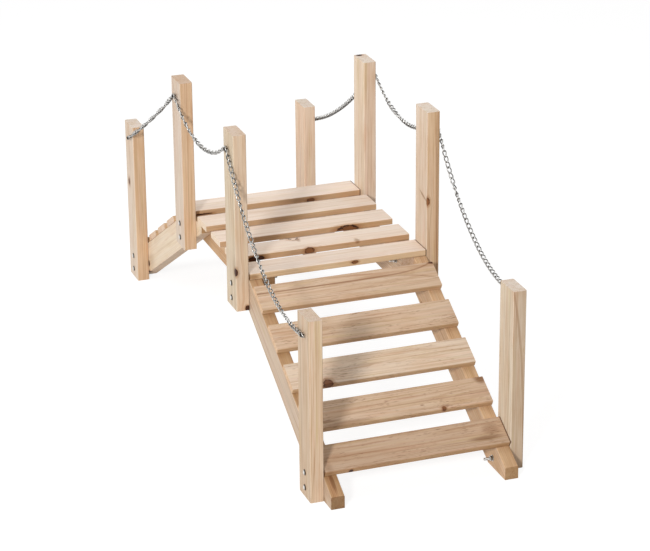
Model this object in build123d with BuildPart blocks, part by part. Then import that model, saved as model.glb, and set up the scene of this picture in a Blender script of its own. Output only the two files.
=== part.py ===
"""Garden footbridge with chain rails: a level deck between two plank ramps, all of planed fir.

Frame: X runs along the bridge towards its near end, Y across it, Z up. The ground is Z = 0 and the
origin lies halfway between the tips of the two ramps, so the deck stands a little to one side of it.
Millimetres and degrees.
"""

import os
from math import cos, pi, radians, sin, tan

from build123d import *

# Lumber: two planed section sizes
POST_WIDTH = 88.9  # along the bridge
POST_THICKNESS = 38.1  # across the bridge
POST_LENGTH = 518.0
STRINGER_DEPTH = 88.9
STRINGER_THICKNESS = 38.1
PLANK_WIDTH = 88.9
PLANK_THICKNESS = 19.0
EASED_EDGE = 3.0  # radius on the long edges of every board

# Deck
CLEAR_WIDTH = 533.4  # between the posts, which is the length of every plank
DECK_POST_SPACING = 507.0
DECK_STRINGER_BOTTOM = 307.0
DECK_OVERHANG = {"near": 0.0, "far": 33.0}  # of the deck stringers past the faces of the deck posts
DECK_PLANKS = 5

# Ramps: the two were set out by hand, so the far one is shorter and steeper
RAMP_ANGLE = {"near": 28.3, "far": 30.0}
END_POST_SETBACK = {"near": 99.0, "far": 114.0}  # from the toe of the ramp to the middle of its posts
RAMP_PLANKS = 5
FIRST_RAMP_PLANK = {"near": 117.0, "far": 129.0}  # from the middle of the deck posts to the top plank's
TIP_HEIGHT = 36.0  # of the plumb cut at the toe of a ramp stringer
RAMP_LAP = 97.0  # of a ramp stringer past the centre of the deck posts, under the deck planks

# Chain rails. A screw in the outer face of each post holds a link, so each side hangs in three lengths.
CHAIN_WIDTH = 13.5
CHAIN_CLEARANCE = 0.3  # between a chain and the post that it hangs against
SCREW_DROP = {  # from the top of the post
    "left": {"far_end": 38.0, "far_deck": 47.0, "near_deck": 50.0, "near_end": 47.0},
    "right": {"far_end": 54.0, "far_deck": 42.0, "near_deck": 47.0, "near_end": 40.0},
}
SCREW_SHIFT = {  # from the middle of the post, towards +X
    "left": {"far_end": 22.0, "far_deck": 2.0, "near_deck": -4.0, "near_end": 12.0},
    "right": {"far_end": 10.0, "far_deck": 4.0, "near_deck": -3.0, "near_end": -15.0},
}
SCREW_GAP = 12.0  # from the middle of a screw to where a hanging length starts
CHAIN_SAG = {
    "left": {"far": 8.0, "deck": 72.0, "near": 102.0},
    "right": {"far": 36.0, "deck": 80.0, "near": 112.0},
}
ROUTE_FRACTIONS = [0, 0.13, 0.31, 0.52, 0.71, 0.88, 1]  # of the distance between two screws

SIGN = {"near": 1, "far": -1}
SIDE = {"left": -1, "right": 1}

# Heights and distances that follow from these, X measured from the middle of the deck posts
deck_stringer_top = DECK_STRINGER_BOTTOM + STRINGER_DEPTH
deck_post_x = DECK_POST_SPACING / 2
deck_post_face = deck_post_x + POST_WIDTH / 2
post_y = (CLEAR_WIDTH + POST_THICKNESS) / 2
ramp_stringer_y = (CLEAR_WIDTH - STRINGER_THICKNESS) / 2
deck_stringer_y = ramp_stringer_y - STRINGER_THICKNESS
post_outer_y = post_y + POST_THICKNESS / 2


def tip_x(end):
    """Distance of a ramp's toe, where its top edge has come down to the height of the plumb cut."""
    return deck_post_face + (deck_stringer_top - TIP_HEIGHT) / tan(radians(RAMP_ANGLE[end]))


def end_post_x(end):
    return tip_x(end) - END_POST_SETBACK[end]


deck_centre = (tip_x("far") - tip_x("near")) / 2


def along(end, distance):
    """X of a point that far from the middle of the deck, towards the named end."""
    return deck_centre + SIGN[end] * distance


def save(piece, name):
    piece.part.label = name
    export_step(piece.part, f"parts/{name}.step")


def ramp_top(end, distance):
    """Height of the top edge of a ramp stringer at a distance from the middle of the deck."""
    return deck_stringer_top - (distance - deck_post_face) * tan(radians(RAMP_ANGLE[end]))


# ---------------------------------------------------------------- posts


def make_post(name, x, side, bottom):
    with BuildPart() as post:
        with BuildSketch(Plane((x, SIDE[side] * post_y, bottom))):
            RectangleRounded(POST_WIDTH, POST_THICKNESS, EASED_EDGE)
        extrude(amount=POST_LENGTH)
    save(post, name)


def make_posts():
    """All eight posts are one length: the deck posts start at the bottom of the deck stringers and
    the end posts on the ground."""
    for end in SIGN:
        for side in SIDE:
            make_post(f"{end}_deck_post_{side}", along(end, deck_post_x), side, DECK_STRINGER_BOTTOM)
            make_post(f"{end}_end_post_{side}", along(end, end_post_x(end)), side, 0)


# ---------------------------------------------------------------- stringers


def make_deck_stringer(side):
    far_x = along("far", deck_post_face + DECK_OVERHANG["far"])
    near_x = along("near", deck_post_face + DECK_OVERHANG["near"])
    middle_z = (deck_stringer_top + DECK_STRINGER_BOTTOM) / 2
    across = Plane((far_x, SIDE[side] * deck_stringer_y, middle_z), x_dir=(0, 1, 0), z_dir=(1, 0, 0))
    with BuildPart() as stringer:
        with BuildSketch(across):
            RectangleRounded(STRINGER_THICKNESS, STRINGER_DEPTH, EASED_EDGE)
        extrude(amount=near_x - far_x)
    save(stringer, f"deck_stringer_{side}")


def make_ramp_stringer(end, side):
    """A sloping board with three cuts: level where it sits on the ground, plumb at its toe, and
    level and plumb again where it laps past the deck posts under the deck planks."""
    slope = radians(RAMP_ANGLE[end])
    lap_x = deck_post_x - RAMP_LAP
    plumb_depth = STRINGER_DEPTH / cos(slope)
    heel_x = deck_post_face + (deck_stringer_top - plumb_depth) / tan(slope)
    outline = [
        (tip_x(end), 0),
        (tip_x(end), TIP_HEIGHT),
        (deck_post_face, deck_stringer_top),
        (lap_x, deck_stringer_top),
        (lap_x, ramp_top(end, lap_x) - plumb_depth),
        (heel_x, 0),
    ]
    downhill = Vector(SIGN[end] * cos(slope), 0, -sin(slope))
    with BuildPart() as stringer:
        with BuildSketch(Plane((0, SIDE[side] * ramp_stringer_y, 0), x_dir=(1, 0, 0), z_dir=(0, -1, 0))):
            with BuildLine():
                Polyline([(along(end, x), z) for x, z in outline], close=True)
            make_face()
        extrude(amount=STRINGER_THICKNESS / 2, both=True)
        sloping = stringer.edges().filter_by(lambda edge: abs(edge.tangent_at(0).dot(downhill)) > 0.999)
        fillet(sloping, EASED_EDGE)
    save(stringer, f"{end}_ramp_stringer_{side}")


# ---------------------------------------------------------------- planks


def make_plank(name, seat):
    """A plank across the bridge. The seat is a plane at the middle of its underside: its X axis lies
    across the plank's width and its Y axis points away from the stringers."""
    with BuildPart() as plank:
        with BuildSketch(seat):
            with Locations((0, PLANK_THICKNESS / 2)):
                RectangleRounded(PLANK_WIDTH, PLANK_THICKNESS, EASED_EDGE)
        extrude(amount=CLEAR_WIDTH / 2, both=True)
    save(plank, name)


def make_deck_planks():
    """The outer planks end flush with the deck stringers and the rest are spread evenly between."""
    first = along("far", deck_post_face + DECK_OVERHANG["far"] - PLANK_WIDTH / 2)
    last = along("near", deck_post_face + DECK_OVERHANG["near"] - PLANK_WIDTH / 2)
    pitch = (last - first) / (DECK_PLANKS - 1)
    for i in range(DECK_PLANKS):
        seat = Plane((first + i * pitch, 0, deck_stringer_top), x_dir=(1, 0, 0), z_dir=(0, -1, 0))
        make_plank(f"deck_plank_{i + 1}", seat)


def make_ramp_planks(end):
    """Planks counted from the deck down, evenly spread, the last one between the end posts."""
    slope = radians(RAMP_ANGLE[end])
    first = deck_post_x + FIRST_RAMP_PLANK[end]
    pitch = (end_post_x(end) - first) / (RAMP_PLANKS - 1)
    for i in range(RAMP_PLANKS):
        distance = first + i * pitch
        towards_near_end = Vector(cos(slope), 0, -SIGN[end] * sin(slope))
        seat = Plane(
            (along(end, distance), 0, ramp_top(end, distance)), x_dir=towards_near_end, z_dir=(0, -1, 0)
        )
        make_plank(f"{end}_ramp_plank_{i + 1}", seat)


# ---------------------------------------------------------------- chains


def screw(side, post, x, top):
    """Where the screw of a post holds its chain, as X and Z."""
    return x + SCREW_SHIFT[side][post], top - SCREW_DROP[side][post]


def chain_route(side, span):
    """The far and near screws of a span, and points between them on the curve in which it hangs."""
    deck_top = DECK_STRINGER_BOTTOM + POST_LENGTH
    screws = [
        screw(side, "far_end", along("far", end_post_x("far")), POST_LENGTH),
        screw(side, "far_deck", along("far", deck_post_x), deck_top),
        screw(side, "near_deck", along("near", deck_post_x), deck_top),
        screw(side, "near_end", along("near", end_post_x("near")), POST_LENGTH),
    ]
    first = ["far", "deck", "near"].index(span)
    (far_x, far_z), (near_x, near_z) = screws[first : first + 2]
    y = SIDE[side] * (post_outer_y + CHAIN_CLEARANCE + CHAIN_WIDTH / 2)
    return [
        Vector(
            far_x + (near_x - far_x) * t,
            y,
            far_z + (near_z - far_z) * t - 4 * CHAIN_SAG[side][span] * t * (1 - t),
        )
        for t in ROUTE_FRACTIONS
    ]


def make_chain(side, span):
    """One hanging length of chain, as a plain tube: straight runs joined by tangent arcs."""
    points = chain_route(side, span)
    points[0] += (points[1] - points[0]).normalized() * SCREW_GAP
    points[-1] += (points[-2] - points[-1]).normalized() * SCREW_GAP
    radii = []
    for before, at, after in zip(points, points[1:], points[2:]):
        turn = radians((at - before).get_angle(after - at))
        shorter = min((at - before).length, (after - at).length)
        radii.append(0.45 * shorter / tan(turn / 2))
    with BuildPart() as chain:
        with BuildLine() as path:
            FilletPolyline(*points, radius=radii)
        with BuildSketch(Plane(origin=path.line @ 0, z_dir=path.line % 0)):
            Circle(CHAIN_WIDTH / 2)
        sweep()
    length = path.wires()[0].length
    solid_ratio = chain.part.volume / (pi * CHAIN_WIDTH**2 / 4 * length)
    print(f"chain_{span}_{side}: {length:.0f} long, tightest bend {min(radii):.0f}, volume {solid_ratio:.4f}")
    save(chain, f"chain_{span}_{side}")


if __name__ == "__main__":
    os.makedirs("parts", exist_ok=True)
    make_posts()
    for bridge_side in SIDE:
        make_deck_stringer(bridge_side)
        for bridge_end in SIGN:
            make_ramp_stringer(bridge_end, bridge_side)
    make_deck_planks()
    for bridge_end in SIGN:
        make_ramp_planks(bridge_end)
    for bridge_side in SIDE:
        for chain_span in CHAIN_SAG[bridge_side]:
            make_chain(bridge_side, chain_span)
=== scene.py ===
"""The looks of the garden footbridge: fir boards, galvanized chain rails and the bolts that hold them.

Everything is in metres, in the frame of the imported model: X along the bridge towards its near end,
Y across it, Z up, the ground at Z = 0. The tables of sizes are in millimetres, and so is the fir's
pattern, which is drawn in the coordinates of each board.
"""

from math import cos, pi, radians, sin

import bpy
import numpy as np
from mathutils import Matrix, Vector


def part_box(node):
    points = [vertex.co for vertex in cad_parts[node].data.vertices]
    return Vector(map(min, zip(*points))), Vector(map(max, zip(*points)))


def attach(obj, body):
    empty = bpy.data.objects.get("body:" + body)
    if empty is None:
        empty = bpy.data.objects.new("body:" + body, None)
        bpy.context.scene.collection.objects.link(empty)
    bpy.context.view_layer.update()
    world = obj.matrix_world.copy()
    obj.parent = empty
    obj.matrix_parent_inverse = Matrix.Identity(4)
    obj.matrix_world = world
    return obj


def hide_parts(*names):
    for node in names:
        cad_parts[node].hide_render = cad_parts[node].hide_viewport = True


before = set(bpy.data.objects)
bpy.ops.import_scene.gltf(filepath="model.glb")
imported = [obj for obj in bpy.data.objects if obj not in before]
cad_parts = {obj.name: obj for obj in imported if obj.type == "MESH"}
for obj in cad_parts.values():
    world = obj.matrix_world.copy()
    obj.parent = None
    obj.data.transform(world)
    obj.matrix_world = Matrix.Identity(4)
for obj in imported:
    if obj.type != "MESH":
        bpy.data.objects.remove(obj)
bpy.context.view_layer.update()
scene = bpy.context.scene

MM = 0.001

# ------------------------------------------------------------------ sizes that the looks share

post_inner_y, post_outer_y = sorted(abs(corner[1]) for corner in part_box("near_deck_post_left"))
board_thickness = post_outer_y - post_inner_y  # of the posts and of the stringers inside them
SIDES = {"left": -1, "right": 1}
ENDS = {"near": 1, "far": -1}


def post_place(post, side):
    """Middle of a post along X, its bottom and its top."""
    low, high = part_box(f"{post}_{side}")
    return (low[0] + high[0]) / 2, low[2], high[2]


# ------------------------------------------------------------------ camera


def set_camera(look_at, distance, azimuth, elevation, lean, lens):
    """A camera at a distance from a point, in a direction given by its azimuth from +X towards +Y and
    its elevation, leaning by a small angle about its own line of sight."""
    a, e, r = radians(azimuth), radians(elevation), radians(lean)
    back = Vector((cos(e) * cos(a), cos(e) * sin(a), sin(e)))
    level = (-back).cross(Vector((0, 0, 1))).normalized()
    up = level.cross(-back)
    across = level * cos(r) + up * sin(r)
    upright = up * cos(r) - level * sin(r)
    data = bpy.data.cameras.new("camera")
    data.lens = lens
    data.sensor_width = 36
    camera = bpy.data.objects.new("camera", data)
    turn = Matrix((across, upright, back)).transposed().to_4x4()
    camera.matrix_world = Matrix.Translation(Vector(look_at) + back * distance) @ turn
    data.clip_end = 60
    scene.collection.objects.link(camera)
    scene.camera = camera


set_camera(
    look_at=(0.8052, -0.2291, 0.6048),
    distance=6.4375,
    azimuth=-19.48,
    elevation=21.884,
    lean=-0.514,
    lens=138.1,
)

# ------------------------------------------------------------------ shapes from arrays


def new_piece(name, points, faces, smooth=True):
    """A mesh object at the origin from an array of points and an array of faces."""
    mesh = bpy.data.meshes.new(name)
    mesh.from_pydata(points.reshape(-1, 3).tolist(), [], faces.tolist())
    mesh.polygons.foreach_set("use_smooth", np.full(len(mesh.polygons), smooth))
    mesh.update()
    piece = bpy.data.objects.new(name, mesh)
    scene.collection.objects.link(piece)
    return piece


def wrapped_faces(rows, columns, around_rows):
    """Quads of a grid of points that closes on itself across its columns, and across its rows too
    where around_rows is true: face (i, j) joins points (i, j), (i, j+1), (i+1, j+1), (i+1, j)."""
    i, j = np.meshgrid(np.arange(rows if around_rows else rows - 1), np.arange(columns), indexing="ij")
    below, beside = (i + 1) % rows, (j + 1) % columns
    corners = [i * columns + j, i * columns + beside, below * columns + beside, below * columns + j]
    return np.stack(corners, -1).reshape(-1, 4)


def unit(vectors):
    """The same directions with a length of 1."""
    return vectors / np.linalg.norm(vectors, axis=-1, keepdims=True)


def repeated(points, faces, count):
    """Face numbers of count copies of one shape whose points follow each other in one array."""
    return (faces[None] + np.arange(count)[:, None, None] * points).reshape(-1, faces.shape[1])


# ------------------------------------------------------------------ chain rails

CHAIN_WIDTH = 13.5 * MM  # of the plain tube whose place a length of links takes
CHAIN_CLEARANCE = 0.3 * MM  # from that tube to the posts
LINK_WIDTH = 14.4 * MM  # of one link over its two sides
WIRE = 3.6 * MM
LINK_PITCH = 16.8 * MM
CHAIN_Y = post_outer_y + CHAIN_CLEARANCE + CHAIN_WIDTH / 2
SCREW_DROP = {  # from the top of the post
    "left": {"far_end_post": 38, "far_deck_post": 47, "near_deck_post": 50, "near_end_post": 47},
    "right": {"far_end_post": 54, "far_deck_post": 42, "near_deck_post": 47, "near_end_post": 40},
}
SCREW_SHIFT = {  # from the middle of the post, towards +X
    "left": {"far_end_post": 22, "far_deck_post": 2, "near_deck_post": -4, "near_end_post": 12},
    "right": {"far_end_post": 10, "far_deck_post": 4, "near_deck_post": -3, "near_end_post": -15},
}
SPANS = {
    "far": ("far_end_post", "far_deck_post"),
    "deck": ("far_deck_post", "near_deck_post"),
    "near": ("near_deck_post", "near_end_post"),
}
CHAIN_SAG = {
    "left": {"far": 8, "deck": 72, "near": 102},
    "right": {"far": 36, "deck": 80, "near": 112},
}
ROUTE_FRACTIONS = np.array([0, 0.13, 0.31, 0.52, 0.71, 0.88, 1])


def screw_point(post, side):
    """Where the screw of a post holds its link."""
    x, _, top = post_place(post, side)
    x += SCREW_SHIFT[side][post] * MM
    return np.array([x, SIDES[side] * CHAIN_Y, top - SCREW_DROP[side][post] * MM])


def route(side, span):
    """Points of a hanging length between its screws: the straight line between them, lowered by a
    parabola that is deepest half way."""
    far, near = [screw_point(post, side) for post in SPANS[span]]
    t = ROUTE_FRACTIONS[:, None]
    points = far + (near - far) * t
    points[:, 2:] -= 4 * CHAIN_SAG[side][span] * MM * t * (1 - t)
    return points


def screw_link_direction(post, side):
    """The way the link on a screw lies: half way between the directions of the lengths on each side."""
    ways = []
    for span, posts in SPANS.items():
        if post in posts:
            points = route(side, span)
            ways.append(points[1] - points[0] if post == posts[0] else points[-1] - points[-2])
    return unit(unit(np.array(ways)).sum(axis=0))


def smooth_line(name, points):
    """The line of a quadratic NURBS spline through a route, as many close points."""
    curve = bpy.data.curves.new(name, "CURVE")
    curve.dimensions = "3D"
    spline = curve.splines.new("NURBS")
    spline.points.add(len(points) - 1)
    spline.points.foreach_set("co", np.c_[points, np.ones(len(points))].ravel())
    spline.order_u = 3
    spline.use_endpoint_u = True
    spline.resolution_u = 24
    holder = bpy.data.objects.new(name, curve)
    mesh = bpy.data.meshes.new_from_object(holder)
    line = np.empty(len(mesh.vertices) * 3)
    mesh.vertices.foreach_get("co", line)
    bpy.data.objects.remove(holder)
    bpy.data.curves.remove(curve)
    bpy.data.meshes.remove(mesh)
    return line.reshape(-1, 3)


def link_shape(around=12, section=5):
    """One twisted link, along X. Its wire's middle follows an oval: x = h clamp(2 cos u) + b cos u and
    y = b sin u, where b is half the oval's width and h half the length of its straight sides. The oval
    is turned about X by 45 degrees at one end and -45 at the other, in proportion to x, so that the
    next link passes square through it. A circle of the wire's radius is carried round that line. The
    third array says how far each point faces the inside of the link, where the chain's finish paints
    shade."""
    half_width = (LINK_WIDTH - WIRE) / 2
    half_straight = (LINK_PITCH + WIRE) / 2 - half_width
    u = np.arange(around) * 2 * pi / around
    x = half_straight * np.clip(2 * np.cos(u), -1, 1) + half_width * np.cos(u)
    y = half_width * np.sin(u)
    twist = radians(45) * x / (half_straight + half_width)
    middle = np.stack([x, y * np.cos(twist), y * np.sin(twist)], -1)
    tangent = unit(np.roll(middle, -1, axis=0) - np.roll(middle, 1, axis=0))
    flat = np.stack([0 * x, -np.sin(twist), np.cos(twist)], -1)
    side = unit(np.cross(flat, tangent))
    over = np.cross(tangent, side)
    v = np.arange(section) * 2 * pi / section
    circle = side[:, None] * np.cos(v)[None, :, None] + over[:, None] * np.sin(v)[None, :, None]
    inside = np.clip(0.5 - 0.9 * np.sum(circle * unit(middle)[:, None], axis=-1), 0, 1)
    return middle[:, None] + circle * WIRE / 2, wrapped_faces(around, section, True), inside.ravel()


def place_links(name, centres, tangents, rolls):
    """Copies of the link, each with its X along a tangent of the line, its Y in the upright plane of
    the line, and turned about the line by its own roll."""
    points, faces, inside = link_shape()
    points = points.reshape(-1, 3)
    outward = np.array([0.0, 1.0, 0.0])
    upward = np.cross(outward, tangents)
    c, s = np.cos(rolls)[:, None], np.sin(rolls)[:, None]
    y_axis = upward * c + outward * s
    z_axis = np.cross(tangents, y_axis)
    axes = np.stack([tangents, y_axis, z_axis], 1)
    placed = np.einsum("pk,ikx->ipx", points, axes) + centres[:, None]
    links = new_piece(name, placed, repeated(len(points), faces, len(centres)))
    # How far each point faces the inside of its link, which the chain's finish turns into painted shade
    shade = links.data.attributes.new("inside_of_link", "FLOAT", "POINT")
    shade.data.foreach_set("value", np.tile(inside, len(centres)))
    return links


# How far the chain has turned about its own line, in degrees, at fractions of each length from its
# far end. The links show their open side about once in each half turn.
CHAIN_ROLL = {
    "left": {
        "far": [(0, -120), (1, 860)],
        "deck": [(0, 40), (0.3, 10), (0.5, 120), (1, 140)],
        "near": [
            (0, 10), (0.07, -30), (0.13, -80), (0.19, -95), (0.26, -175),
            (0.32, -240), (0.37, -260), (0.44, -280), (0.52, -350), (0.66, -435),
            (0.74, -450), (0.87, -530), (0.95, -610), (1, -620),
        ],
    },
    "right": {
        "far": [(0, 0), (1, 70)],
        "deck": [
            (0, 40), (0.23, 25), (0.31, -60), (0.38, -80), (0.44, -155),
            (0.6, -190), (0.8, -230), (1, -300),
        ],
        "near": [
            (0, 10), (0.11, 0), (0.16, -60), (0.2, -80), (0.26, -95),
            (0.32, -170), (0.38, -195), (0.5, -245), (0.6, -255), (1, -228),
        ],
    },
}
# How far the links lean by turns to one side and the other, in degrees
LINK_LEAN = 5
LOOSE_LINK_LEAN = {("left", "far"): 12, ("left", "deck"): 18}


def along_line(line, gone, at):
    """Points of a line at distances from its start, where gone is how far each of its own points is."""
    return np.stack([np.interp(at, gone, line[:, axis]) for axis in range(3)], -1)


def hang_chain(side, span):
    """One hanging length: links evenly spaced on the smooth line of its route, between the links that
    the screws hold."""
    far_post, near_post = SPANS[span]
    points = route(side, span)
    points[0] += screw_link_direction(far_post, side) * LINK_PITCH / 2
    points[-1] -= screw_link_direction(near_post, side) * LINK_PITCH / 2
    line = smooth_line(f"chain_{span}_{side}", points)
    steps = np.linalg.norm(np.diff(line, axis=0), axis=1)
    gone = np.concatenate([[0], np.cumsum(steps)])
    length = gone[-1]
    count = round(length / LINK_PITCH)
    at = (np.arange(count) + 0.5) * length / count
    tangents = unit(along_line(line, gone, at + MM) - along_line(line, gone, at - MM))
    leans = LOOSE_LINK_LEAN.get((side, span), LINK_LEAN) * (-1.0) ** np.arange(count)
    rolls = np.radians(np.interp(at / length, *zip(*CHAIN_ROLL[side][span])) + leans)
    chain = place_links(f"chain_links_{span}_{side}", along_line(line, gone, at), tangents, rolls)
    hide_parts(f"chain_{span}_{side}")
    return chain


chains = [hang_chain(side, span) for side in SIDES for span in SPANS]

# ------------------------------------------------------------------ bolts and screws


def turned(profile, centre, axis, around=24, radius_at=None):
    """A shape turned about an axis: the profile is pairs of radius and height in millimetres, from its
    closed foot to its closed tip, and point (i, j) is centre + axis height_i + spoke_j radius_i. Where
    radius_at is given, each radius is multiplied by radius_at(angle, height)."""
    profile = np.array(profile, float) * MM
    axis = np.array(axis, float)
    aside = [1.0, 0.0, 0.0] if abs(axis[0]) < 0.9 else [0.0, 1.0, 0.0]
    spoke_a = unit(np.cross(axis, aside))
    spoke_b = np.cross(axis, spoke_a)
    v = np.arange(around) * 2 * pi / around
    spokes = np.cos(v)[:, None] * spoke_a + np.sin(v)[:, None] * spoke_b
    radii = np.repeat(profile[:, :1], around, axis=1)
    if radius_at is not None:
        radii = radii * radius_at(v[None, :], profile[:, 1:] / MM)
    points = np.array(centre) + profile[:, 1][:, None, None] * axis + radii[..., None] * spokes[None]
    return points.reshape(-1, 3), wrapped_faces(len(profile), around, False)


def gathered(name, shapes, smooth=True):
    """One piece from several shapes."""
    points, faces, first = [], [], 0
    for shape_points, shape_faces in shapes:
        points.append(shape_points)
        faces.append(shape_faces + first)
        first += len(shape_points)
    return new_piece(name, np.concatenate(points), np.concatenate(faces), smooth)


BOLT_RADIUS = 4.0
BOLT_HEIGHTS = (27, 71)  # above the bottom of a post
BOLT_SHIFT = {("near_end_post", "right"): 13}  # from the middle of the post, towards +X
NUT_CORNER = 7.5
NUT_FLAT = 6.5
THREAD_PITCH = 1.25
THREAD_DEPTH = 0.14  # as a share of the bolt's radius
THREAD_START = 8.0  # above the stringer, inside the nut
THREAD_ROWS = 4  # in each pitch
TIP_LENGTH = 1.0
TIP_BEVEL = 0.9
THREAD_END = {"deck": 21.0, "end": 14.0}  # above the stringer, by the kind of post
LONG_THREAD_END = {("near_end_post", "right"): 26.0}
SCREW_OUT = 2.6  # from the middle of the chain to the underside of a screw's head

# Profiles, as pairs of radius and height from the foot to the tip
BOLT_HEAD = [
    (0, -0.3), (6, -0.3), (8.1, 0.0), (8.2, 0.5), (7.6, 1.3),
    (6.6, 2.3), (5.3, 3.2), (3.8, 3.9), (2.0, 4.3), (0, 4.4),
]
WASHER = [(0, 0), (8.6, 0), (9, 0.3), (9, 1.4), (8.6, 1.7), (0, 1.7)]
NUT = [
    (0, 1.7), (6.3, 1.7), (7.3, 2.2), (NUT_CORNER, 2.9),
    (NUT_CORNER, 7.0), (7.3, 7.7), (6.3, 8.2), (0, 8.2),
]
SCREW = [
    (0, -8.0), (1.9, -8.0), (1.9, 0.0), (4.6, 0.0), (4.8, 0.3), (4.7, 1.2),
    (4.2, 2.5), (3.0, 3.3), (1.7, 3.4), (1.6, 2.6), (0, 2.6),
]


def hexagon(angle, height):
    """How much shorter a nut's radius is than its corner's: a flat lies NUT_FLAT from the axis."""
    flat = NUT_FLAT / np.cos((angle % (pi / 3)) - pi / 6)
    return np.minimum(flat / NUT_CORNER, 1) + 0 * height


def screw_thread(angle, height):
    """A thread: the radius falls and rises once in each pitch, as the height less the part of a turn
    goes by."""
    turn = (height / THREAD_PITCH - angle / (2 * pi)) % 1
    return 1 - THREAD_DEPTH * np.abs(2 * turn - 1)


def bolt_thread(end):
    """Profile of the bolt's end from inside the nut to its bevelled tip."""
    rows = int((end - THREAD_START - TIP_LENGTH) / THREAD_PITCH * THREAD_ROWS)
    heights = np.linspace(THREAD_START, end - TIP_LENGTH, rows)
    shank = [(BOLT_RADIUS, height) for height in heights]
    return [(0, THREAD_START - 0.5), *shank, (BOLT_RADIUS - TIP_BEVEL, end), (0, end)]


def bolt_shapes(post, side, height):
    """Head on the outer face of the post, and washer, nut and thread on the inner face of the
    stringers: the bolt goes through the post and one stringer, or two at the deck."""
    x, bottom, _ = post_place(post, side)
    x += BOLT_SHIFT.get((post, side), 0) * MM
    z = bottom + height * MM
    kind = post.split("_")[1]
    boards = 3 if kind == "deck" else 2
    out = np.array([0.0, SIDES[side], 0.0])
    outer = np.array([x, SIDES[side] * post_outer_y, z])
    inner = np.array([x, SIDES[side] * (post_outer_y - boards * board_thickness), z])
    thread = bolt_thread(LONG_THREAD_END.get((post, side), THREAD_END[kind]))
    nut = [
        turned(WASHER, inner, -out, 32),
        turned(NUT, inner, -out, 36, hexagon),
        turned(thread, inner, -out, 16, screw_thread),
    ]
    return turned(BOLT_HEAD, outer, out), nut


POSTS = [f"{end}_{kind}_post" for end in ENDS for kind in ("deck", "end")]
heads, nuts, screws, screw_links = [], [], [], []
for side in SIDES:
    for post in POSTS:
        for height in BOLT_HEIGHTS:
            head, nut = bolt_shapes(post, side, height)
            heads.append(head)
            nuts += nut
        centre = screw_point(post, side)
        seat = centre + np.array([0, SIDES[side] * SCREW_OUT * MM, 0])
        screws.append(turned(SCREW, seat, (0, SIDES[side], 0), 20))
        screw_links.append((centre, screw_link_direction(post, side)))

bolt_heads = gathered("bolt_heads", heads)
bolt_nuts = gathered("bolt_nuts", nuts, smooth=False)
chain_screws = gathered("chain_screws", screws)
link_centres, link_ways = (np.array(values) for values in zip(*screw_links))
links_on_screws = place_links("links_on_screws", link_centres, link_ways, np.zeros(len(screw_links)))

# ------------------------------------------------------------------ finishes


class Term:
    """A number that varies over a surface, kept as its socket. Sums and products of terms add the
    Math nodes that work them out."""

    def __init__(self, finish, socket):
        self.finish, self.socket = finish, socket

    def math(self, operation, *values):
        node = self.finish.node("ShaderNodeMath", {"operation": operation}, dict(enumerate(values)))
        return self.finish.term(node)

    def __add__(self, other):
        return self.math("ADD", self, other)

    def __sub__(self, other):
        return self.math("SUBTRACT", self, other)

    def __rsub__(self, other):
        return self.math("SUBTRACT", other, self)

    def __mul__(self, other):
        return self.math("MULTIPLY", self, other)

    def __truediv__(self, other):
        return self.math("DIVIDE", self, other)

    def __pow__(self, other):
        return self.math("POWER", self, other)

    def root(self):
        return self.math("SQRT", self)

    def fade(self):
        """e to the power of minus this."""
        return self.math("EXPONENT", self * -1)

    def size(self):
        return self.math("ABSOLUTE", self)

    def fraction(self):
        return self.math("FRACT", self)

    def most(self, other):
        return self.math("MAXIMUM", self, other)


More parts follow.
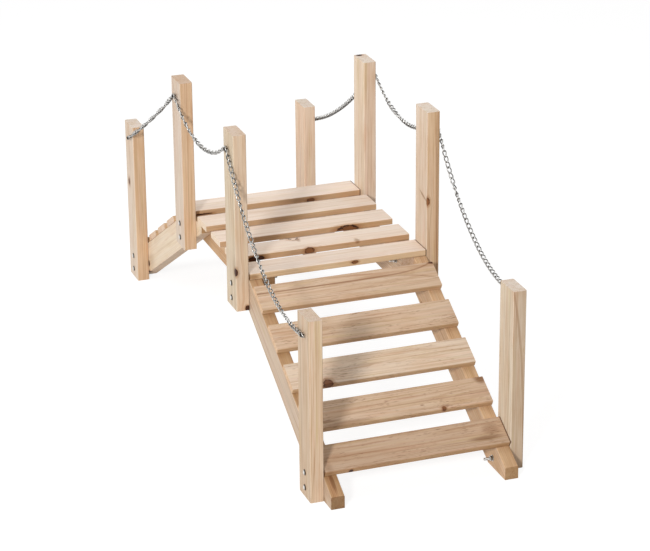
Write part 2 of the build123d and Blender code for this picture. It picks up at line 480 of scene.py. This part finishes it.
class Finish:
    """The nodes of a material or of the world being made, with one method that adds any node."""

    def __init__(self, owner):
        owner.use_nodes = True
        self.owner, self.tree = owner, owner.node_tree
        self.tree.nodes.clear()

    @classmethod
    def of_material(cls, name):
        return cls(bpy.data.materials.new(name))

    def node(self, kind, settings=None, inputs=None):
        """A node with its settings made first and then its sockets, from numbers, terms or sockets."""
        node = self.tree.nodes.new(kind)
        for name, value in (settings or {}).items():
            setattr(node, name, value)
        for name, value in (inputs or {}).items():
            if isinstance(value, Term):
                value = value.socket
            if isinstance(value, bpy.types.NodeSocket):
                self.tree.links.new(value, node.inputs[name])
            else:
                node.inputs[name].default_value = value
        return node

    def term(self, node, output=0):
        return Term(self, node.outputs[output])

    def step(self, value, low, high):
        """0 below low and 1 above high, and a smooth rise between; a fall where low is above high."""
        ends = {"Value": value, "From Min": low, "From Max": high}
        return self.term(self.node("ShaderNodeMapRange", {"interpolation_type": "SMOOTHSTEP"}, ends))

    def vector(self, x, y, z):
        return self.node("ShaderNodeCombineXYZ", None, {0: x, 1: y, 2: z}).outputs[0]

    def noise(self, vector, scale=1.0, detail=2.0, seed=0.0, roughness=0.5):
        inputs = {"Vector": vector, "W": seed, "Scale": scale, "Detail": detail, "Roughness": roughness}
        return self.term(self.node("ShaderNodeTexNoise", {"noise_dimensions": "4D"}, inputs))

    def blend(self, first, second, factor, mode="MIX"):
        inputs = {0: factor, 6: first, 7: second}
        settings = {"data_type": "RGBA", "blend_type": mode, "clamp_factor": True}
        return self.node("ShaderNodeMix", settings, inputs).outputs[2]

    def tinted(self, base, shares, mask):
        """The base with its red, green and blue cut to the given shares where the mask is 1."""
        return self.blend(base, (*shares, 1), mask, "MULTIPLY")

    def bump(self, height, strength, distance):
        inputs = {"Height": height, "Strength": strength, "Distance": distance}
        return self.node("ShaderNodeBump", None, inputs).outputs[0]

    def surface(self, **sockets):
        """Ends the material with a Principled shader whose sockets are given by name."""
        inputs = {name.replace("_", " "): value for name, value in sockets.items()}
        shader = self.node("ShaderNodeBsdfPrincipled", None, inputs)
        self.node("ShaderNodeOutputMaterial", None, {"Surface": shader.outputs[0]})
        return self.owner

    def background_ray(self):
        """1 for the rays that see the background, which are the camera's and those that metal or
        glass sends on, and 0 for the rays that light the object."""
        rays = self.node("ShaderNodeLightPath")
        kinds = ("Camera", "Glossy", "Transmission")
        camera, glossy, transmission = (self.term(rays, f"Is {kind} Ray") for kind in kinds)
        return camera.most(glossy).most(transmission)


def colour(red, green, blue):
    """A colour written as it looks on a screen, 0 to 255, as the numbers that a shader takes."""
    parts = np.array([red, green, blue]) / 255
    return (*np.where(parts > 0.04045, ((parts + 0.055) / 1.055) ** 2.4, parts / 12.92).tolist(), 1.0)


# ---------------------------------------------------------------- fir

# A knot, a stain or a patch of painted shadow in a board: its place in millimetres from the board's
# middle (along the grain, across the width, through the thickness), and its half sizes in the same three
# directions. Across is towards +X on a post or a deck plank, downhill on a ramp plank, and up on a
# stringer, or down on one of the far ramp. Through is towards +Y on a post and -Y on a stringer, and the
# top of a plank has through = -9.5, or 9.5 on the far ramp. Then a knot has how dark its heart is and how
# dark its rim, where a heart of None is bare pale wood, and a stain or shadow how strong it is. A last
# number, where there is one, is how far it leans: millimetres along the grain for each one across.
KNOTS = {
    "far_end_post_left": [(61, -17, -20, 9, 7, 8, 0.6, 0.7)],
    "deck_plank_1": [(106, 45, 5, 13, 8, 7, 0.4, 0.85), (-236, 45, 4, 30, 7, 2.2, 0.9, 1.0)],
    "deck_plank_3": [(126, 46, 9, 35, 9, 18, 0.3, 1.0)],
    "deck_plank_4": [
        (-40, 45, 1, 15, 10, 11, 0.25, 0.65),
        (-200, 45, 3, 25, 7, 8, 0.75, 0.95),
        (-62, -41, -9, 14, 14, 8, None, 1.0),
    ],
    "deck_plank_5": [(49, 45, -2, 11, 7, 5, 0.3, 0.8)],
    "near_ramp_plank_1": [(262, -42, -9, 9, 6, 7, 0.7, 0.8)],
    "near_ramp_plank_3": [(-164, 41, -6, 15, 14, 12, 0.4, 0.85)],
    "near_ramp_plank_4": [(124, 42, -6, 6, 8, 8, 0.35, 0.5)],
    "near_ramp_plank_5": [(-190, 45, 2, 6, 5, 6, 0.8, 0.9)],
    "far_ramp_plank_2": [(-150, 40, 4, 12, 9, 10, 0.5, 0.7)],
    "far_ramp_plank_4": [(60, -10, 8, 11, 9, 12, 0.4, 0.7)],
    "near_deck_post_left": [(-142, 41, -20, 12, 11, 8, 0.8, 1.0), (-252, 45, 14, 8, 8, 8, 0.8, 0.9)],
    "far_deck_post_right": [(257, -38, -4, 7, 9, 10, 0.9, 0.9), (-90, 12, 20, 12, 9, 12, 0.4, 0.6)],
    "near_deck_post_right": [(-6, 46, -17, 13, 5, 7, 0.2, 0.6)],
    "near_end_post_right": [(90, 25, 20, 10, 8, 10, 0.5, 0.7)],
    "far_ramp_stringer_left": [(264, 12, 19, 10, 8, 9, 0.8, 0.9), (280, 44, 19, 16, 11, 12, 0.8, 0.95)],
    "near_ramp_stringer_right": [(-210, -30, 19, 10, 8, 10, 0.5, 0.7)],
    "deck_stringer_right": [(-120, -20, -19, 13, 10, 10, 0.4, 0.7)],
}
STAINS_AND_PAINTED_SHADOW = {
    # On deck_plank_1 this mark on the front edge is painted shadow of the near left deck post, over the
    # lamp's own
    "deck_plank_1": [(90, 45, 2, 50, 9, 10, 0.3)],
    "deck_plank_4": [
        (-52, -24, -9, 7, 16, 6, 0.6),
        (107, 38, -8, 9, 17, 9, 0.8),
        (-76, 46, 2, 34, 8, 7, 0.2),
    ],
    "deck_plank_5": [(-254, 45, 0, 20, 8, 9, 0.8)],
    "near_ramp_plank_3": [(-180, 34, -9, 30, 14, 12, 0.4)],
    "near_ramp_plank_4": [
        (258, -36, -9, 20, 17, 12, 1.0),
        (-160, 38, -9, 80, 9, 12, 0.6),
        (-210, 26, -9, 42, 5, 8, 0.6),
    ],
    "near_ramp_plank_5": [
        (204, 19, -9, 56, 8, 12, 0.8),
        (226, -8, -9, 26, 22, 10, 0.45),
        (-250, 30, -4, 14, 22, 9, 0.5),
    ],
    "far_ramp_stringer_left": [(240, 10, 19, 60, 30, 12, 0.3)],
    "near_ramp_stringer_left": [(385, 50, 0, 40, 8, 7, 0.9), (433, 28, 4, 10, 10, 7, 0.8)],
    "far_end_post_left": [(61, -16, -19, 22, 16, 14, 0.7)],
    "near_deck_post_left": [(-135, 30, -19, 46, 20, 16, 0.3)],
    "near_deck_post_right": [(0, 47, 13, 400, 12, 6, 0.5), (3, 16, -19, 5, 32, 4, 0.8, -0.33)],
    "near_end_post_left": [(0, -22, -19, 300, 5, 4, 0.35), (60, 0, -19, 90, 4, 4, 0.3)],
}
# A dark growth line on one face: the way across the grain in which it bends, then level, rise, start
# and reach, which give its place that way, level + rise e^((along - start) / reach), and then its half
# width and how strong it is.
GROWTH_LINES = {
    "near_ramp_plank_1": [("across", -14, -28, 260, 55, 2.6, 0.75), ("across", -15, 32, 262, 60, 1.8, 0.5)],
    "near_ramp_plank_4": [("across", 8, 26, -260, -70, 2.0, 0.45)],
    "near_end_post_right": [("through", 22, -41, 259, 190, 3.0, 0.5), ("across", 20, 6, 259, 200, 2.0, 0.4)],
    "near_end_post_left": [("through", 4, -22, -259, -160, 1.6, 0.28), ("across", 18, 8, 259, 150, 1.4, 0.3)],
    "near_deck_post_right": [("through", 12, -6, 259, 120, 1.2, 0.5)],
    "far_deck_post_left": [("through", -3, 5, 259, 200, 1.3, 0.4)],
    "near_deck_post_left": [("across", 33, -5, 259, 200, 1.5, 0.4)],
}
# Planks that end against posts, where a dark line along the joint is painted shade of the gap there, with its
# dirt
BUTTED = ("deck_plank_1", "deck_plank_5", "near_ramp_plank_5", "far_ramp_plank_5")
# The distances at which a mark starts and is at its darkest
GAP_SHADE_SPAN = (262.4, 264.6)  # from the middle of a plank
BOLT_SHADE_EDGE = (10.8, 8.6)  # from the middle of a bolt
POST_SKIN = (17.0, 18.5)  # from the middle of a post's thickness
# How squarely a surface looks along a way where it starts to count as a face, and where it wholly does
WIDE_FACE = (0.35, 0.85)
CUT_END = (0.3, 0.42)
# What is left of red, green and blue in each kind of mark
RING, TAN_STREAK, COOL_STREAK = (0.66, 0.52, 0.40), (0.86, 0.80, 0.72), (0.90, 0.91, 0.93)
PINK_STREAK, YELLOW_STREAK, PATCH = (1.0, 0.92, 0.90), (0.96, 0.97, 0.84), (0.93, 0.86, 0.78)
DASH, GROWTH, STAIN_AND_SHADOW_TINT = (0.42, 0.31, 0.23), (0.56, 0.42, 0.30), (0.46, 0.34, 0.24)
HALO, BOLT_SHADE, GAP_SHADE = (0.62, 0.44, 0.30), (0.42, 0.36, 0.30), (0.24, 0.17, 0.12)


def fir(
    node, grain, width_way, face, edge, end, contrast, streaks, spacing=3.8, wander=0.35, dashes=0.0
):
    """Planed fir in three tones: the wide faces, the edges and the cut ends. The board runs along its
    grain, and width_way lies across its wide faces. Its rings are cylinders about the pith, a line
    beside the board, and fibres and streaks run along it. All of them flow round the knots. The rings
    are spacing millimetres apart and as crooked as wander says, and contrast is how dark they are.
    Streaks and dashes are how strong the long streaks and the short dark marks are."""
    rng = np.random.default_rng(number_of(node))
    low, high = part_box(node)
    centre = (Vector(low) + Vector(high)) / 2
    grain, width_way = Vector(grain).normalized(), Vector(width_way).normalized()
    deep_way = grain.cross(width_way)
    turn = Matrix((grain, width_way, deep_way)).transposed().to_euler()
    pith = (rng.uniform(-20, 20), rng.choice((-1, 1)) * rng.uniform(40, 85))
    seed = float(rng.uniform(0, 90))
    tilt = float(rng.uniform(-0.02, 0.02))

    # The coordinates of the board, in millimetres from its middle
    f = Finish.of_material(f"fir_{node}")
    place = f.node("ShaderNodeTexCoord")
    board = {"Vector": place.outputs["Object"], "Location": centre, "Rotation": turn}
    local = f.node("ShaderNodeMapping", {"vector_type": "TEXTURE"}, board)
    scaled = f.node("ShaderNodeVectorMath", {"operation": "SCALE"}, {0: local.outputs[0], "Scale": 1 / MM})
    split = f.node("ShaderNodeSeparateXYZ", None, {0: scaled.outputs[0]})
    along, across, deep = (f.term(split, axis) for axis in range(3))
    true_across, true_deep = across, deep

    def away(s, c, d, rs, rc, rd, lean=0.0):
        """Distance from a point of the board as a share of the three half sizes."""
        leaning = along - s - (true_across - c) * lean if lean else along - s
        squares = [(v / r) ** 2.0 for v, r in ((leaning, rs), (true_across - c, rc), (true_deep - d, rd))]
        return (squares[0] + squares[1] + squares[2]).root()

    def facing(way, low, high):
        """1 on faces that look along a way or against it, and 0 on the others."""
        inputs = {0: place.outputs["Normal"], 1: way}
        dot = f.node("ShaderNodeVectorMath", {"operation": "DOT_PRODUCT"}, inputs)
        return f.step(f.term(dot, 1).size(), low, high)

    def lumps(width, number):
        """Noise in lumps of one width, which the knots don't bend. The number picks out one noise."""
        lump = f.vector(along / width, true_across / width, true_deep / width)
        return f.noise(lump, seed=seed + number)

    def drawn_out(length, width, number, **settings):
        """Noise drawn out along the grain, which flows round the knots."""
        cell = f.vector(along / length, across / width, deep / width)
        return f.noise(cell, seed=seed + number, **settings)

    # Knots, and how they bend the grain
    knots = []
    for s, c, d, rs, rc, rd, heart, rim in KNOTS.get(node, []):
        off = away(s, c, d, rs, rc, rd) * (lumps(7, s) * 0.5 + 0.75)
        pull = (off * off * 0.22).fade() * 0.7
        across = across - (across - c) * pull
        deep = deep - (deep - d) * pull
        knots.append((off, heart, rim))

    # Growth rings, each with a dark line at its end that fades in and out along the board
    wide = drawn_out(380, 70, 0, detail=1.0) - 0.5
    waver = drawn_out(50, 16, 3) - 0.5
    y = across - pith[0] + along * tilt + wide * (60 * wander)
    z = deep - pith[1] + wide * (30 * wander)
    rings = ((y * y + z * z).root() + waver * 2.0) / spacing
    rings = rings + f.noise(f.vector(rings * 0.31, 0.0, 0.0), detail=1.0, seed=seed + 7) * 1.8
    saw = rings.fraction()
    line = f.step(saw, 0.2, 0.9) * f.step(saw, 1.0, 0.92)
    line = line * f.step(drawn_out(200, 12, 13, detail=1.0), 0.3, 0.65)

    # What runs along the board, from the finest to the broadest
    fibre = drawn_out(22, 0.9, 11, detail=3.0, roughness=0.65)
    streak = drawn_out(130, 3.6, 19, detail=3.0, roughness=0.6)
    hue = drawn_out(210, 8, 29)
    broad = drawn_out(330, 13, 17, roughness=0.6)
    patch = drawn_out(110, 45, 23, detail=3.0)

    tone = f.blend(colour(*edge), colour(*face), facing(deep_way, *WIDE_FACE))
    tone = f.blend(tone, colour(*end), facing(grain, *CUT_END))
    darker = line * contrast + (fibre - 0.5) * (0.6 * contrast) + (streak - 0.5) * (2.2 * streaks)
    base = f.tinted(tone, RING, f.step(darker, -0.25, 1.0))
    base = f.tinted(base, TAN_STREAK, f.step(broad, 0.40, 0.70) * streaks)
    base = f.tinted(base, COOL_STREAK, f.step(broad, 0.50, 0.28) * streaks)
    base = f.tinted(base, PINK_STREAK, f.step(hue, 0.50, 0.72) * streaks)
    base = f.tinted(base, YELLOW_STREAK, f.step(hue, 0.46, 0.26) * streaks)
    base = f.tinted(base, PATCH, f.step(patch, 0.48, 0.7) * 0.6)
    if dashes:
        dash = drawn_out(19, 1.9, 31, detail=1.0)
        where = drawn_out(80, 24, 37, detail=1.0)
        base = f.tinted(base, DASH, f.step(dash + where * 0.4, 0.82, 0.92) * dashes)

    # Marks placed one by one
    for way, level, rise, start, reach, half_width, strong in GROWTH_LINES.get(node, []):
        sideways, outer_face = (true_across, deep_way) if way == "across" else (true_deep, width_way)
        bend = sideways - level - ((start - along) / reach).fade() * rise + (streak - 0.5) * 3.0
        mark = f.step(bend.size(), half_width * 1.6, half_width * 0.3) * facing(outer_face, *WIDE_FACE)
        base = f.tinted(base, GROWTH, mark * strong)
    # Stains, and a painted shadow on the front edge of deck_plank_1
    for s, c, d, rs, rc, rd, strong, *lean in STAINS_AND_PAINTED_SHADOW.get(node, []):
        off = away(s, c, d, rs, rc, rd, *lean) + (fibre - 0.5) * 0.8 + (streak - 0.5) * 1.2
        base = f.tinted(base, STAIN_AND_SHADOW_TINT, f.step(off, 1.25, 0.35) * strong)
    height = fibre * 0.5 + line * 0.3
    for off, heart, rim in knots:
        base = f.tinted(base, HALO, f.step(off, 1.9, 0.95) * 0.7)
        curl = f.step(off + (lumps(6, 41) - 0.5) * 2.0, 0.6, 1.0)
        body = f.step(off, 1.08, 0.92)
        base = f.blend(base, f.blend(knot_tone(heart), knot_tone(rim), curl), body)
        height = height - body * 0.4

    # Painted shade round the bolt heads, and dark lines where planks end against posts, painted shade of the
    # gap there with its dirt
    post, _, side = node.rpartition("_")
    for bolt_height in BOLT_HEIGHTS if post in POSTS else ():
        rise = bolt_height - (high[2] - low[2]) / 2 / MM
        shift = BOLT_SHIFT.get((post, side), 0)
        off = ((along - rise) ** 2.0 + (true_across - shift) ** 2.0).root()
        # Painted shade: a dark ring in the wood round each bolt head
        bolt_shade = f.step(off, *BOLT_SHADE_EDGE) * f.step(true_deep * SIDES[side], *POST_SKIN)
        base = f.tinted(base, BOLT_SHADE, bolt_shade * 0.6)
    if node in BUTTED:
        # Painted shade of the gap where the plank end meets the post, with its dirt
        gap_shade = f.step(along.size() + (drawn_out(3, 9, 43) - 0.5) * 0.9, *GAP_SHADE_SPAN)
        base = f.tinted(base, GAP_SHADE, gap_shade * 0.95)

    return f.surface(
        Base_Color=base,
        Specular_IOR_Level=0.3,
        Roughness=fibre * 0.15 + 0.5,
        Normal=f.bump(height, 0.35, 0.0006),
    )


def knot_tone(dark):
    """The colour of a knot, from red-brown at 0 to nearly black at 1, or of bare pale wood for None."""
    if dark is None:
        return colour(232, 206, 186)
    parts = ((160, 42), (106, 14), (62, 2))
    return colour(*(light + (black - light) * dark for light, black in parts))


def number_of(word):
    """The same number for a name on every run."""
    total = 0
    for letter in word:
        total = (total * 131 + ord(letter)) % 1000003
    return total


def slope_of(end):
    """Downhill direction of a ramp, from its first plank to its last."""
    first, last = (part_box(f"{end}_ramp_plank_{i}") for i in (1, len(RAMP_LOOKS)))
    a = (Vector(first[0]) + Vector(first[1])) / 2
    b = (Vector(last[0]) + Vector(last[1])) / 2
    return (b - a).normalized()


def dress(node, **looks):
    """Gives a board its own fir."""
    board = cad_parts[node]
    board.data.materials.clear()
    board.data.materials.append(fir(node, **looks))


UP, ACROSS, ALONG = (0, 0, 1), (0, 1, 0), (1, 0, 0)

# Tones of the wide faces, some of which edges and ends share
PALE_PINK, PINK_CREAM = (251, 235, 221), (240, 223, 208)
PEARL, VANILLA = (233, 216, 195), (230, 213, 190)
CREAM, OAT, SHELL, STRAW = (224, 207, 189), (215, 199, 183), (217, 204, 185), (207, 192, 169)
PEACH, ROSE, LIGHT_TAN, PAINTED_LIGHT_BUFF = (238, 212, 187), (228, 204, 182), (220, 199, 177), (222, 191, 157)
HONEY, SAND, TAN, BEIGE = (218, 187, 154), (218, 194, 168), (210, 183, 157), (202, 181, 157)
DEEP_TAN, GREY_TAN, BROWN, AMBER = (204, 177, 151), (199, 179, 158), (194, 166, 140), (198, 163, 124)
# Tones of edges and ends alone
EDGE_PALE, EDGE_BROWN, EDGE_TAN = (222, 193, 156), (207, 175, 139), (205, 169, 132)
EDGE_RUST, OCHRE, CHALK = (185, 150, 112), (209, 175, 138), (230, 218, 206)
PINK_END, DULL_END, WARM_END = (216, 197, 179), (206, 181, 158), (174, 140, 102)
DARK_END = (148, 116, 82)

POST_LOOKS = {  # the tones of the wide faces, the edges and the ends, and how strong the streaks are
    "far_end_post_left": (CREAM, HONEY, CHALK, 0.7),
    "far_deck_post_left": (OAT, HONEY, DULL_END, 0.7),
    "near_deck_post_left": (STRAW, SAND, PINK_END, 0.8),
    "near_end_post_left": (BEIGE, SAND, PINK_END, 0.9),
    "far_end_post_right": (PEACH, PEACH, CHALK, 0.8),
    "far_deck_post_right": (PEARL, ROSE, CHALK, 0.8),
    "near_deck_post_right": (CREAM, HONEY, CHALK, 0.8),
    "near_end_post_right": (SHELL, BEIGE, CHALK, 0.9),
}
STRINGER_LOOKS = {  # the same, with how dark the rings are before the streaks
    "deck_stringer_left": (AMBER, EDGE_RUST, DARK_END, 0.4, 0.85),
    "deck_stringer_right": (SAND, HONEY, DULL_END, 0.4, 0.85),
    "near_ramp_stringer_left": (GREY_TAN, EDGE_RUST, DARK_END, 0.4, 0.85),
    # Its faces are painted lighter than the wood, standing in for key light that reaches its inner face
    # between the planks
    "near_ramp_stringer_right": (PAINTED_LIGHT_BUFF, OCHRE, WARM_END, 0.4, 0.85),
    "far_ramp_stringer_left": (VANILLA, SAND, WARM_END, 0.25, 0.5),
    "far_ramp_stringer_right": (LIGHT_TAN, SAND, WARM_END, 0.4, 0.85),
}
DECK_LOOKS = [  # the tones of the wide faces and of the edges, from the far plank to the near one
    (PALE_PINK, EDGE_TAN),
    (PINK_CREAM, EDGE_TAN),
    (PINK_CREAM, EDGE_TAN),
    (PINK_CREAM, EDGE_TAN),
    (PINK_CREAM, EDGE_PALE),
]
RAMP_LOOKS = [  # the same from the deck down, and how strong the dashes are
    (TAN, EDGE_BROWN, 0.3),
    (TAN, EDGE_BROWN, 0.75),
    (LIGHT_TAN, EDGE_BROWN, 0.5),
    (DEEP_TAN, EDGE_BROWN, 0.75),
    (BROWN, EDGE_RUST, 0.7),
]
RAMP_PLANK_END = {"near": HONEY, "far": ROSE}

for node, (face, edge, end_tone, streaks) in POST_LOOKS.items():
    ways = {"grain": UP, "width_way": ALONG}
    tones = {"face": face, "edge": edge, "end": end_tone}
    dress(node, **ways, **tones, contrast=0.3, streaks=streaks, spacing=5.5, wander=0.15)
for node, (face, edge, end_tone, contrast, streaks) in STRINGER_LOOKS.items():
    grain = Vector(ALONG) if node.startswith("deck") else slope_of(node.split("_")[0])
    ways = {"grain": grain, "width_way": grain.cross(Vector(ACROSS))}
    tones = {"face": face, "edge": edge, "end": end_tone}
    dress(node, **ways, **tones, contrast=contrast, streaks=streaks)
for i, (face, edge) in enumerate(DECK_LOOKS, start=1):
    ways = {"grain": ACROSS, "width_way": ALONG}
    tones = {"face": face, "edge": edge, "end": PEARL}
    dress(f"deck_plank_{i}", **ways, **tones, contrast=0.25, streaks=0.5)
for i, (face, edge, dashes) in enumerate(RAMP_LOOKS, start=1):
    rings = {"contrast": 0.45, "streaks": 0.8, "spacing": 3.2, "wander": 0.3}
    for end, end_tone in RAMP_PLANK_END.items():
        ways = {"grain": ACROSS, "width_way": slope_of(end)}
        tones = {"face": face, "edge": edge, "end": end_tone}
        dress(f"{end}_ramp_plank_{i}", **ways, **tones, **rings, dashes=dashes)


def steel(name, bright, dull, shade_tone, roughness, shaded=None, turned_away=(0.92, 0.74)):
    """Zinc-coated steel in bright and dull patches, with painted shade where the shaded attribute, or a face
    that turns away from the post, says so: a darker tone that stands in for the shade inside the links and
    for the dark reflections on the sides of bolt heads, nuts and screws."""
    f = Finish.of_material(name)
    place = f.node("ShaderNodeTexCoord")
    patches = f.noise(place.outputs["Object"], scale=700.0)
    base = f.blend(colour(*dull), colour(*bright), f.step(patches, 0.35, 0.65))
    # The share of painted shade: from the attribute, or from how far a face turns away from the post
    if shaded:
        painted_shade = f.term(f.node("ShaderNodeAttribute", {"attribute_name": shaded}), "Fac")
    else:
        split = f.node("ShaderNodeSeparateXYZ", None, {0: place.outputs["Normal"]})
        painted_shade = f.step(f.term(split, 1).size(), *turned_away)
    base = f.blend(base, colour(*shade_tone), painted_shade)
    return f.surface(
        Base_Color=base,
        Metallic=1.0,
        Roughness=patches * 0.15 + roughness,
        Normal=f.bump(patches, 0.2, 0.0002),
    )


# The third tone of each steel is its painted shade.
chain_steel = steel(
    "galvanized_chain", (216, 214, 210), (150, 149, 147), (54, 53, 51), 0.22, shaded="inside_of_link"
)
bolt_steel = steel("zinc_bolts", (236, 233, 228), (196, 193, 188), (62, 56, 50), 0.2)
nut_steel = steel(
    "zinc_nuts", (236, 234, 230), (180, 178, 174), (140, 138, 134), 0.25, turned_away=(0.75, 0.2)
)
screw_steel = steel("dark_screws", (84, 76, 68), (52, 46, 42), (28, 25, 22), 0.35)
metal_pieces = [(chain, chain_steel) for chain in chains] + [
    (links_on_screws, chain_steel),
    (bolt_heads, bolt_steel),
    (bolt_nuts, nut_steel),
    (chain_screws, screw_steel),
]
for piece, finish in metal_pieces:
    piece.data.materials.append(finish)
    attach(piece, "root")

# ------------------------------------------------------------------ floor, light and air

FLOOR_HALF = 15.0
FLOOR_DROP = 0.0004  # under the ground on which the bridge stands


def lay_floor():
    """A pale floor: where the camera sees it, mostly a plain white glow with a part that still takes
    the object's shadow."""
    corners = np.array([(-1, -1, 0), (1, -1, 0), (1, 1, 0), (-1, 1, 0)]) * FLOOR_HALF
    floor = new_piece("floor", corners - (0, 0, FLOOR_DROP), np.array([[0, 1, 2, 3]]), smooth=False)
    f = Finish.of_material("pale_floor")
    real = f.node("ShaderNodeBsdfDiffuse", None, {"Color": (0.82, 0.82, 0.82, 1)})
    faint = f.node("ShaderNodeBsdfDiffuse", None, {"Color": (0.25, 0.25, 0.25, 1)})
    glow = f.node("ShaderNodeEmission", None, {"Color": (1, 1, 1, 1), "Strength": 0.86})
    shown = f.node("ShaderNodeAddShader", None, {0: faint.outputs[0], 1: glow.outputs[0]})
    parts = {0: f.background_ray(), 1: real.outputs[0], 2: shown.outputs[0]}
    mixed = f.node("ShaderNodeMixShader", None, parts)
    f.node("ShaderNodeOutputMaterial", None, {"Surface": mixed.outputs[0]})
    floor.data.materials.append(f.owner)


def white_air(strength):
    """A world that lights the object evenly and looks white."""
    world = bpy.data.worlds.new("air")
    scene.world = world
    f = Finish(world)
    lit = f.node("ShaderNodeBackground", None, {"Color": (1, 1, 1, 1), "Strength": strength})
    seen = f.node("ShaderNodeBackground", None, {"Color": (1, 1, 1, 1), "Strength": 1.0})
    parts = {0: f.background_ray(), 1: lit.outputs[0], 2: seen.outputs[0]}
    mixed = f.node("ShaderNodeMixShader", None, parts)
    f.node("ShaderNodeOutputWorld", None, {"Surface": mixed.outputs[0]})


def soft_lamp(name, place, aim, size, power):
    """A square lamp that shines from its place towards a point. Its size is in metres and its power in
    watts."""
    data = bpy.data.lights.new(name, "AREA")
    data.shape = "SQUARE"
    data.size = size
    data.energy = power
    lamp = bpy.data.objects.new(name, data)
    way = Vector(aim) - Vector(place)
    lamp.matrix_world = Matrix.Translation(place) @ way.to_track_quat("-Z", "Y").to_matrix().to_4x4()
    scene.collection.objects.link(lamp)


lay_floor()
white_air(0.38)
soft_lamp("key", place=(6.58, -4.77, 3.84), aim=(0.85, -0.29, 0.52), size=1.0, power=435)
soft_lamp("left", place=(-0.4, -3.6, 2.4), aim=(0, 0, 0.4), size=2.4, power=46)
soft_lamp("overhead", place=(-0.6, 0.3, 3.4), aim=(0, 0, 0.3), size=2.2, power=30)

scene.view_settings.view_transform = "Standard"
